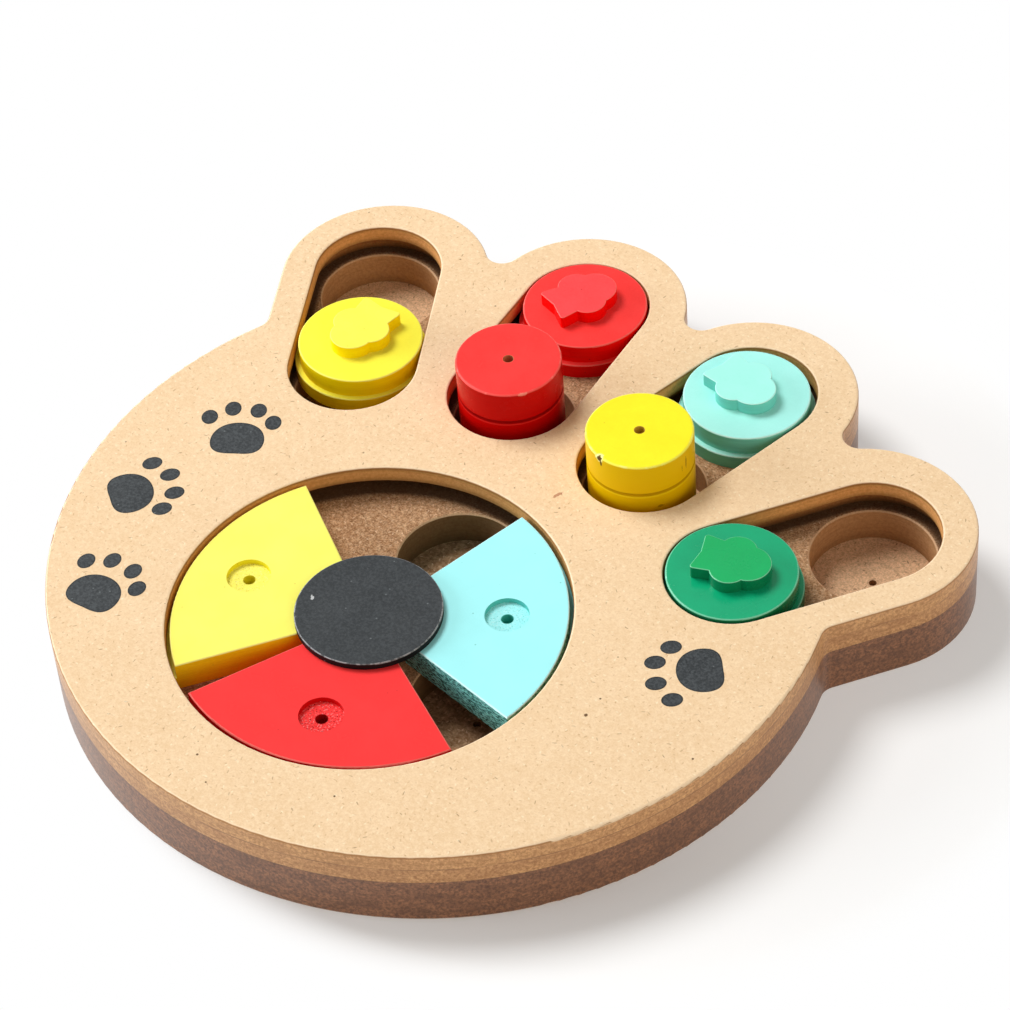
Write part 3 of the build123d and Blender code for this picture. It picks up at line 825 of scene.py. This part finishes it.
inkLook = {
    **plainPaint, "seed": (0.3, 0.3, 0.9), "face": colour(49, 52, 54), "faceDeep": colour(43, 46, 48),
    # the ink's side colours are painted shade
    "fine": colour(92, 97, 100), "side": colour(12, 12, 13), "sideDeep": colour(6, 6, 7),
    "edge": colour(176, 178, 180), "speck": colour(128, 134, 136), "rough": 0.55, "speckShare": 0.14,
    "specular": 0.14,
}
capScuff = {
    "centre": inMm(-15.0, -46.1, 26.3), "size": inMm(0.9, 0.5, 0.6), "turn": 0.8, "ragged": 2.6,
    "colour": colour(206, 208, 208), "share": 0.8,
}
# the cap's pale edge is partly wear and partly painted highlight
capLook = dict(inkLook, seed=(0.6, 0.1, 0.2), fineShare=0.32, rubbed=0.7, patchScale=420.0, edgeHighlightShare=0.12,
               spots=(capScuff,))
dress("hub_cap", paintedWood("capPaint", capLook))
dress("hub_screw", steel)


# paw prints: thin ink on the board, each a pad and four toes with a darker rim

printShape = {
    "thickness": 0.03 * mm, "rim": 0.35,
    # half the pad, the other half mirrors it: degrees from the toes, reach in mm
    "pad": [(0, 6.56), (15, 6.63), (30, 6.82), (45, 7.05), (60, 7.3), (75, 7.49), (90, 7.68), (105, 7.88),
            (120, 7.96), (135, 7.54), (150, 6.74), (165, 6.12), (180, 5.88)],
    "padSteps": 4,
    "toes": [(6.95, -9.2), (11.7, -4.31), (12.19, 3.13), (8.52, 9.35)],  # ahead and left of the pad, mm
    "toeLong": 2.88, "toeShort": 2.36, "toeTurn": 4.0, "toeSteps": 48,
}
printPlaces = {  # middle of the pad in mm, and the way the toes point in degrees
    "paw_print_1": (-74.43, -12.43, 124.0),
    "paw_print_2": (-83.90, -46.28, 57.0),
    "paw_print_3": (-64.75, -79.84, 97.5),
    "paw_print_4": (84.15, -3.04, 224.0),
}


def padOutline():
    # a smooth curve through the pad's points
    half = [(math.radians(angle), reach) for angle, reach in printShape["pad"]]
    whole = half + [(2 * math.pi - angle, reach) for angle, reach in reversed(half[1:-1])]
    points = []
    count = len(whole)
    for index in range(count):
        before, here, after, beyond = (whole[(index + step) % count][1] for step in (-1, 0, 1, 2))
        start = whole[index][0]
        width = (whole[(index + 1) % count][0] - start) % (2 * math.pi)
        for part in range(printShape["padSteps"]):
            along = part / printShape["padSteps"]
            slope = (after - before) * along
            bend = (2 * before - 5 * here + 4 * after - beyond) * along * along
            twist = (3 * here - before - 3 * after + beyond) * along ** 3
            reach = 0.5 * (2 * here + slope + bend + twist)
            angle = start + width * along
            points.append((reach * math.cos(angle), reach * math.sin(angle)))
    return points


def toeOutline(ahead, left):
    points = []
    turn = math.radians(printShape["toeTurn"])
    for step in range(printShape["toeSteps"]):
        angle = 2 * math.pi * step / printShape["toeSteps"]
        along = printShape["toeLong"] * math.cos(angle)
        across = printShape["toeShort"] * math.sin(angle)
        points.append((ahead + along * math.cos(turn) - across * math.sin(turn),
                       left + along * math.sin(turn) + across * math.cos(turn)))
    return points


def insetOutline(outline, distance):
    points = []
    for index, (x, y) in enumerate(outline):
        beforeX, beforeY = outline[index - 1]
        afterX, afterY = outline[(index + 1) % len(outline)]
        alongX, alongY = afterX - beforeX, afterY - beforeY
        span = math.hypot(alongX, alongY)
        points.append((x - alongY / span * distance, y + alongX / span * distance))
    return points


def pawPrint(name, x, y, direction):
    shape = bmesh.new()
    place = Matrix.Translation((x * mm, y * mm, boardTop)) @ Matrix.Rotation(math.radians(direction), 4, "Z")

    def ring(outline, height):
        return [shape.verts.new(place @ Vector((a * mm, b * mm, height))) for a, b in outline]

    for outline in [padOutline()] + [toeOutline(*toe) for toe in printShape["toes"]]:
        low, high = ring(outline, 0), ring(outline, printShape["thickness"])
        inner = ring(insetOutline(outline, printShape["rim"]), printShape["thickness"])
        shape.faces.new(inner)
        shape.faces.new(low[::-1]).material_index = 1
        for index in range(len(outline)):
            after = (index + 1) % len(outline)
            shape.faces.new((low[index], low[after], high[after], high[index])).material_index = 1
            shape.faces.new((high[index], high[after], inner[after], inner[index])).material_index = 1
    mesh = bpy.data.meshes.new(name)
    shape.to_mesh(mesh)
    shape.free()
    piece = bpy.data.objects.new(name, mesh)
    bpy.context.scene.collection.objects.link(piece)
    mesh.materials.append(ink)
    mesh.materials.append(inkRim)
    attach(piece, "board")


rimLook = dict(inkLook, face=colour(36, 39, 41), faceDeep=colour(32, 35, 36), fineShare=0.25)
ink = paintedWood("printInk", dict(inkLook, speckShare=0.2, fineShare=0.5))
inkRim = paintedWood("printRim", rimLook)
for name, (x, y, direction) in printPlaces.items():
    pawPrint(name, x, y, direction)
print("prints:", len(printPlaces))


# floor, light and camera

floorSettings = {
    "reach": 6.0, "colour": 0.985, "cloud": 0.01, "cloudScale": 3.0, "cloudBand": (0.3, 0.7), "rough": 0.9,
    "lift": (0.1, 0.3), "liftBand": (-0.11, 0.04),  # share of plain white glow that paints the board's shadow on the floor lighter, in front of the board and beside it
    "middle": (0.025, 0.02), "whiteBand": (0.128, 0.15),  # metres, where the floor goes over to white
}


def addFloor():
    reach = floorSettings["reach"]
    mesh = bpy.data.meshes.new("floor")
    corners = [(-reach, -reach, 0), (reach, -reach, 0), (reach, reach, 0), (-reach, reach, 0)]
    mesh.from_pydata(corners, [], [(0, 1, 2, 3)])
    floor = bpy.data.objects.new("floor", mesh)
    bpy.context.scene.collection.objects.link(floor)
    material, tree, shader = newMaterial("paleFloor")
    pale = floorSettings["colour"]
    dim = pale - floorSettings["cloud"]
    cloud = noise(tree, ownPlace(tree), floorSettings["cloudScale"])
    cloud = ramp(tree, cloud, *floorSettings["cloudBand"])
    feed(tree, mixColour(tree, cloud, (pale, pale, pale, 1), (dim, dim, dim, 1)), shader["Base Color"])
    shader["Roughness"].default_value = floorSettings["rough"]
    shader["Specular IOR Level"].default_value = 0.0
    white = put(tree, "ShaderNodeEmission", {"Color": (1, 1, 1, 1), "Strength": 1.0}).outputs[0]
    output = tree.nodes["Material Output"].inputs["Surface"]
    ahead = parts(tree, ownPlace(tree))[1]
    lift = ramp(tree, ahead, *floorSettings["liftBand"], *floorSettings["lift"])
    far = ramp(tree, reachFrom(tree, floorSettings["middle"]), *floorSettings["whiteBand"])
    share = times(tree, seenRays(tree), calc(tree, "MAXIMUM", lift, far))
    mix = put(tree, "ShaderNodeMixShader", {0: share, 1: output.links[0].from_socket, 2: white})
    feed(tree, mix.outputs[0], output)
    mesh.materials.append(material)


lightSettings = {
    "key": {"travel": (7.1, -0.6, -10.0), "distance": 2.6, "size": 1.2, "power": 51.0},
    "sideLamps": {  # the way the light travels, its strength, the width of its source in degrees, its colour
        "leftLight": ((0.82, 0.55, -0.12), 3.3, 50.0, (0.86, 0.94, 1.0)),
        "rightLight": ((-0.9, 0.1, -0.35), 1.1, 50.0, (1.0, 0.88, 0.7)),
    },
    "fill": 0.24,
}


def addLamp(name, kind, travel, strength):
    lamp = bpy.data.lights.new(name, kind)
    lamp.energy = strength
    light = bpy.data.objects.new(name, lamp)
    bpy.context.scene.collection.objects.link(light)
    light.rotation_mode = "QUATERNION"
    light.rotation_quaternion = Vector(travel).to_track_quat("-Z", "Y")
    return light, lamp


def addLight():
    key = lightSettings["key"]
    light, lamp = addLamp("keyLight", "AREA", key["travel"], key["power"])
    lamp.shape, lamp.size = "DISK", key["size"]
    light.location = Vector(key["travel"]).normalized() * -key["distance"]
    for name, (travel, strength, width, tint) in lightSettings["sideLamps"].items():
        light, lamp = addLamp(name, "SUN", travel, strength)
        lamp.angle, lamp.color = math.radians(width), tint
    world = bpy.data.worlds.new("softRoom")
    bpy.context.scene.world = world
    world.use_nodes = True
    tree = world.node_tree
    tree.nodes.clear()
    room, white = (
        put(tree, "ShaderNodeBackground", {"Color": (1, 1, 1, 1), "Strength": strength}).outputs[0]
        for strength in (lightSettings["fill"], 1.0))
    mix = put(tree, "ShaderNodeMixShader", {0: seenRays(tree), 1: room, 2: white}).outputs[0]
    put(tree, "ShaderNodeOutputWorld", {"Surface": mix})


cameraSettings = {
    "imageSize": 1010, "focalPixels": 3667.2, "sensor": 36.0, "distance": 0.98606,
    "elevation": 0.788082, "roll": -0.0835316, "yaw": -0.7593538, "clip": (0.05, 50.0),
    "aimPixel": (368.9, 612.1),  # where the middle of the wheel shows, on the board's top plane
}


def addCamera():
    roll = Matrix.Rotation(cameraSettings["roll"], 3, "Z")
    level = Matrix(((1, 0, 0), (0, 0, -1), (0, 1, 0)))
    elevation = Matrix.Rotation(cameraSettings["elevation"], 3, "X")
    turn = roll @ level @ elevation @ Matrix.Rotation(cameraSettings["yaw"], 3, "Z")
    middle = cameraSettings["imageSize"] / 2
    depth, focal = cameraSettings["distance"], cameraSettings["focalPixels"]
    offset = [(pixel - middle) / focal * depth for pixel in cameraSettings["aimPixel"]]
    data = bpy.data.cameras.new("camera")
    data.sensor_width = cameraSettings["sensor"]
    data.lens = focal * cameraSettings["sensor"] / cameraSettings["imageSize"]
    data.clip_start, data.clip_end = cameraSettings["clip"]
    camera = bpy.data.objects.new("camera", data)
    bpy.context.scene.collection.objects.link(camera)
    back = turn.transposed()
    facing = back @ Matrix.Diagonal((1, -1, -1))
    wheel = Vector((wheelX, wheelY, boardTop))
    camera.matrix_world = Matrix.Translation(wheel - back @ Vector((*offset, depth))) @ facing.to_4x4()
    bpy.context.scene.camera = camera


addFloor()
addLight()
addCamera()
bpy.context.scene.view_settings.view_transform = "Standard"
print("floor, light and camera placed")
